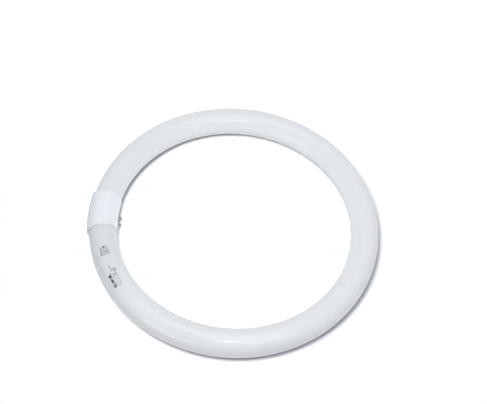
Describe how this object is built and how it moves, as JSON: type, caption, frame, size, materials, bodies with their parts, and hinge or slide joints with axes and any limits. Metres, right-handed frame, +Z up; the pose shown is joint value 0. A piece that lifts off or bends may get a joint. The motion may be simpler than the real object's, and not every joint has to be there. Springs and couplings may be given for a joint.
{
  "type": "circular led tube",
  "caption": "Ring-shaped lamp: a milky white tube bent to a circle, its two ends closed into a white moulded base whose contact pins point to the ring's middle.",
  "frame": {"origin": "centre of the ring, on the surface that the lamp lies on", "axes": "+Z up through the ring, the base with the contact pins at -X, the pins pointing towards +X and down"},
  "size_m": [0.3069, 0.305, 0.0333],
  "materials": {
    "opal_tube": "gloss, milky white inside",
    "base_plastic": "satin moulded white",
    "pin_metal": "dull nickel plate on brass",
    "circuit_board": "green solder mask",
    "capacitor_sleeve": "black shrink sleeve",
    "component_body": "black moulding",
    "lead_red": "red insulation",
    "lead_black": "black insulation"
  },
  "bodies": {
    "root": {"ring_tube": "opal_tube", "base_cover": "base_plastic", "pin_base": "base_plastic", "driver_board": "circuit_board", "smoothing_capacitor": "capacitor_sleeve", "bridge_rectifier": "component_body", "driver_chip": "component_body", "lead_positive": "lead_red", "lead_negative": "lead_black", "contact_pin_1": "pin_metal", "contact_pin_2": "pin_metal", "contact_pin_3": "pin_metal", "contact_pin_4": "pin_metal"}
  },
  "joints": []
}
